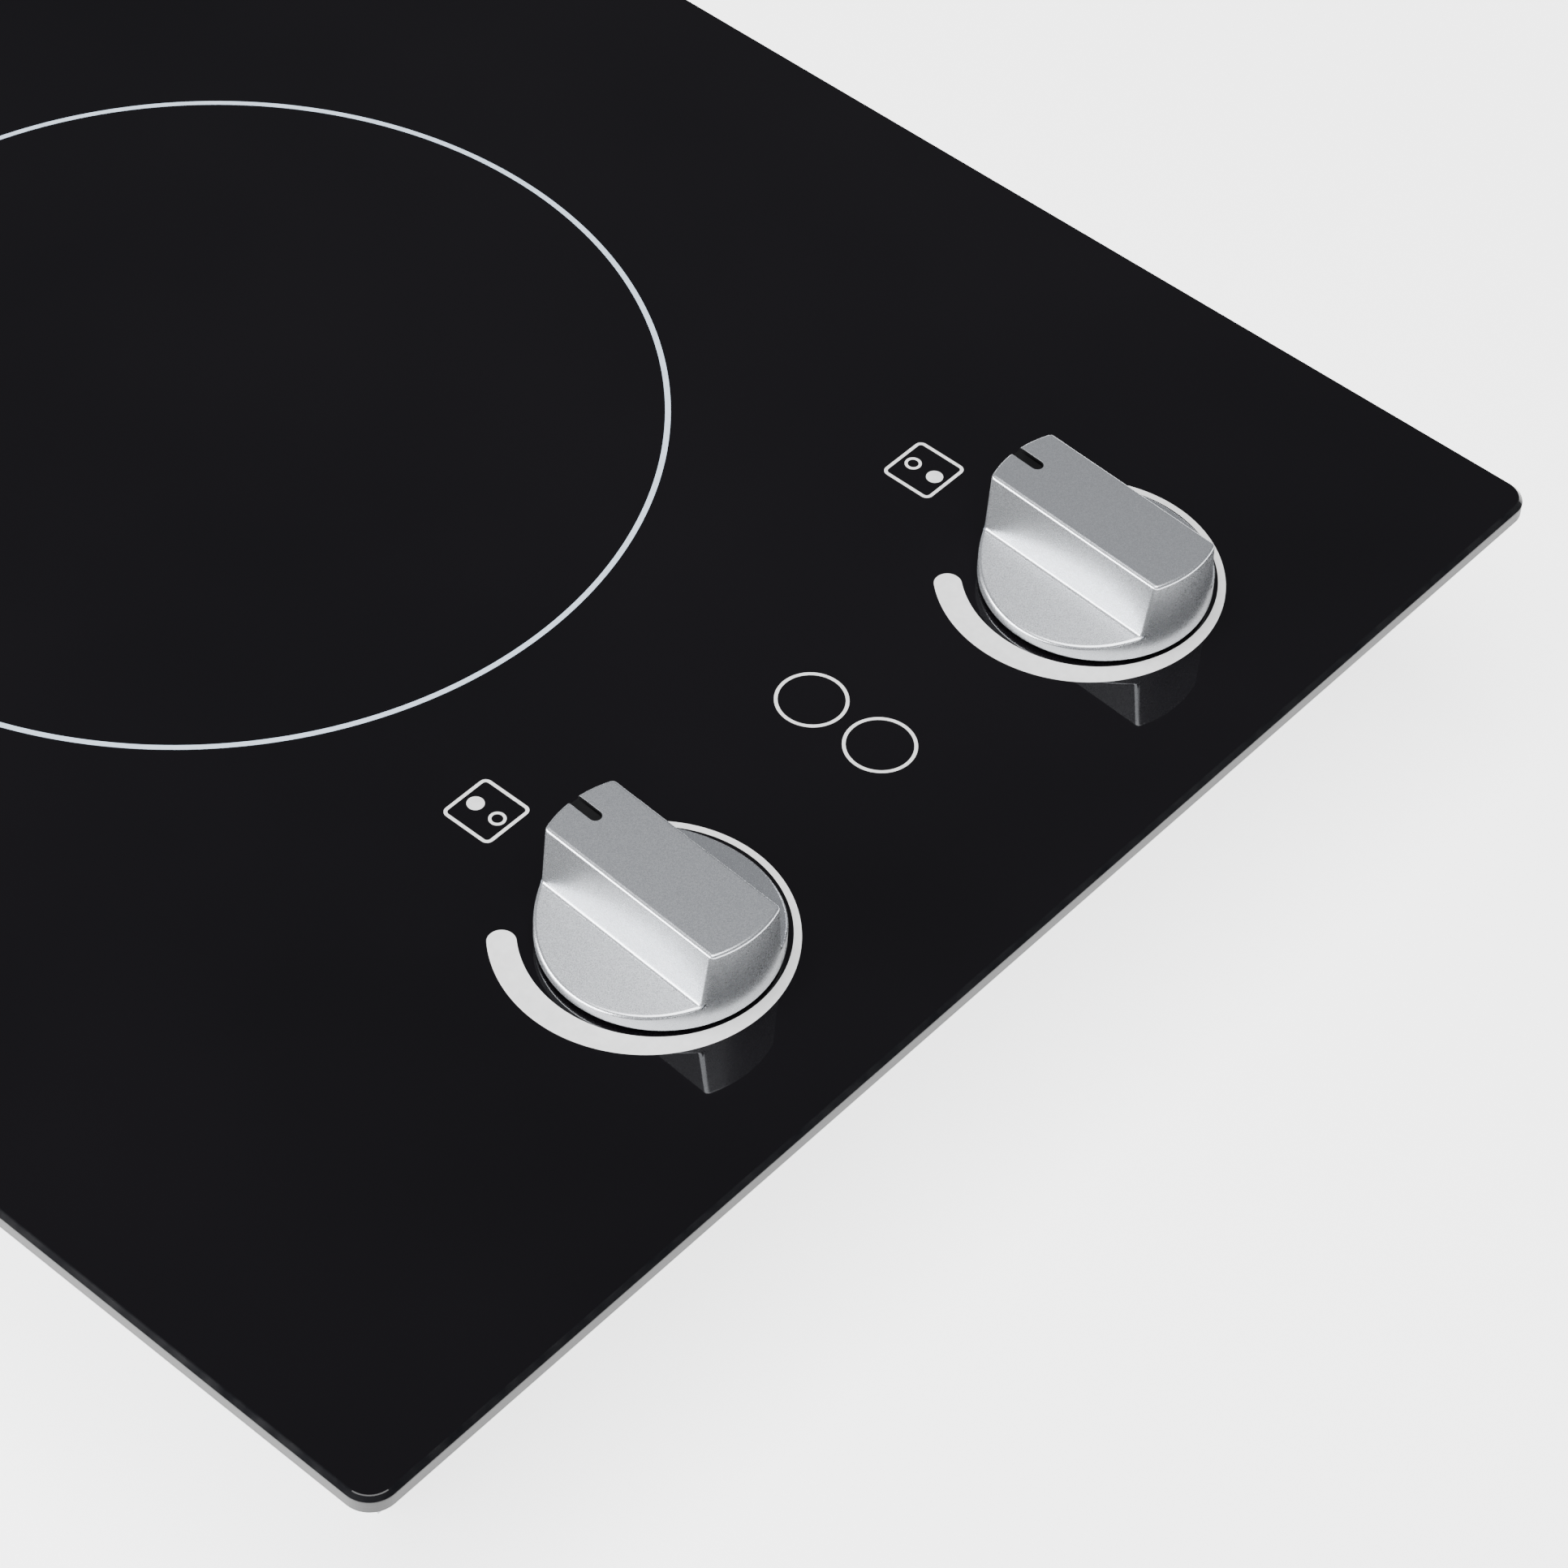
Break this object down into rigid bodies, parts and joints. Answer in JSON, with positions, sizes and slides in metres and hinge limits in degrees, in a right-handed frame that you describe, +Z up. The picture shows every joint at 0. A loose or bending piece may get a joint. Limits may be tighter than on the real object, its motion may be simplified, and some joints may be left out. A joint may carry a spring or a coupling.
{
  "type": "built-in ceramic hob",
  "caption": "Black glass-ceramic hob plate with ring-marked radiant zones, turning silver control knobs, and a shallow steel base pan with its internal heaters and wiring.",
  "frame": {"origin": "middle of the bounding box at the underside of the base pan", "axes": "+Z up out of the glass, +Y from the controls towards the back, +X to the right for a person standing at the controls"},
  "size_m": [0.288, 0.51, 0.0649],
  "materials": {
    "glass_plate": "gloss",
    "cooking_zone_rings": "printed enamel",
    "power_scales": "printed enamel",
    "zone_symbols": "printed enamel",
    "lamp_circles": "printed enamel",
    "worktop_seal": "closed foam",
    "glass_adhesive": "silicone",
    "base_pan": "zinc coated",
    "heat_shield": "zinc coated",
    "control_bracket": "zinc coated",
    "floor_screws": "zinc plated",
    "left_knob": "fine satin coating on moulded knob",
    "left_pointer": "moulded",
    "left_knob_spring": "spring steel",
    "left_spindle": "turned",
    "left_spindle_seal": "moulded",
    "right_knob": "fine satin coating on moulded knob",
    "right_pointer": "moulded",
    "right_knob_spring": "spring steel",
    "right_spindle": "turned",
    "right_spindle_seal": "moulded",
    "left_regulator_case": "moulded",
    "left_regulator_plate": "zinc coated",
    "left_regulator_tabs": "stamped",
    "right_regulator_case": "moulded",
    "right_regulator_plate": "zinc coated",
    "right_regulator_tabs": "stamped",
    "regulator_screws": "zinc plated",
    "lamp_holder": "moulded",
    "lamp_lenses": "clear red",
    "neon_lamps": "clear",
    "front_element_dish": "pressed",
    "front_insulation_bed": "pressed fibre board",
    "front_insulation_ring": "pressed fibre board",
    "front_ribbon": "oxidised",
    "front_limiter_tube": "clear",
    "front_limiter_head": "unglazed",
    "front_bridge": "zinc coated",
    "front_springs": "spring steel",
    "rear_element_dish": "pressed",
    "rear_insulation_bed": "pressed fibre board",
    "rear_insulation_ring": "pressed fibre board",
    "rear_ribbon": "oxidised",
    "rear_limiter_tube": "clear",
    "rear_limiter_head": "unglazed",
    "rear_bridge": "zinc coated",
    "rear_springs": "spring steel",
    "terminal_box": "moulded",
    "terminal_lid": "moulded",
    "terminal_block": "moulded",
    "terminal_clamps": "turned",
    "cable_gland": "moulded",
    "cable_clamp": "moulded",
    "earth_screw": "turned",
    "supply_wires": "silicone insulation",
    "element_wires": "glass-fibre sleeve",
    "lamp_wires": "silicone insulation",
    "spring_clips": "spring steel",
    "clip_screws": "zinc plated"
  },
  "bodies": {
    "hob": {"glass_plate": "glass_plate", "cooking_zone_rings": "cooking_zone_rings", "power_scales": "power_scales", "zone_symbols": "zone_symbols", "lamp_circles": "lamp_circles", "worktop_seal": "worktop_seal", "glass_adhesive": "glass_adhesive", "base_pan": "base_pan", "heat_shield": "heat_shield", "control_bracket": "control_bracket", "floor_screws": "floor_screws", "left_spindle_seal": "left_spindle_seal", "right_spindle_seal": "right_spindle_seal", "left_regulator_case": "left_regulator_case", "left_regulator_plate": "left_regulator_plate", "left_regulator_tabs": "left_regulator_tabs", "right_regulator_case": "right_regulator_case", "right_regulator_plate": "right_regulator_plate", "right_regulator_tabs": "right_regulator_tabs", "regulator_screws": "regulator_screws", "lamp_holder": "lamp_holder", "lamp_lenses": "lamp_lenses", "neon_lamps": "neon_lamps", "front_element_dish": "front_element_dish", "front_insulation_bed": "front_insulation_bed", "front_insulation_ring": "front_insulation_ring", "front_ribbon": "front_ribbon", "front_limiter_tube": "front_limiter_tube", "front_limiter_head": "front_limiter_head", "front_bridge": "front_bridge", "front_springs": "front_springs", "rear_element_dish": "rear_element_dish", "rear_insulation_bed": "rear_insulation_bed", "rear_insulation_ring": "rear_insulation_ring", "rear_ribbon": "rear_ribbon", "rear_limiter_tube": "rear_limiter_tube", "rear_limiter_head": "rear_limiter_head", "rear_bridge": "rear_bridge", "rear_springs": "rear_springs", "terminal_box": "terminal_box", "terminal_block": "terminal_block", "terminal_clamps": "terminal_clamps", "cable_gland": "cable_gland", "cable_clamp": "cable_clamp", "earth_screw": "earth_screw", "supply_wires": "supply_wires", "element_wires": "element_wires", "lamp_wires": "lamp_wires", "spring_clips": "spring_clips", "clip_screws": "clip_screws"},
    "left_control": {"left_knob": "left_knob", "left_pointer": "left_pointer", "left_knob_spring": "left_knob_spring", "left_spindle": "left_spindle"},
    "right_control": {"right_knob": "right_knob", "right_pointer": "right_pointer", "right_knob_spring": "right_knob_spring", "right_spindle": "right_spindle"},
    "lid": {"terminal_lid": "terminal_lid"}
  },
  "joints": [
    {"name": "left_knob_turn", "type": "hinge", "parent": "hob", "child": "left_control", "pos_m": [-0.0356, -0.2122, 0.048], "axis": [0, 0, 1], "range_deg": [-312, 3]},
    {"name": "right_knob_turn", "type": "hinge", "parent": "hob", "child": "right_control", "pos_m": [0.0744, -0.2122, 0.048], "axis": [0, 0, 1], "range_deg": [-312, 3]},
    {"name": "terminal_lid_hinge", "type": "hinge", "parent": "hob", "child": "lid", "pos_m": [0.08, 0.2442, 0.0042], "axis": [-1, 0, 0], "range_deg": [0, 90]}
  ]
}
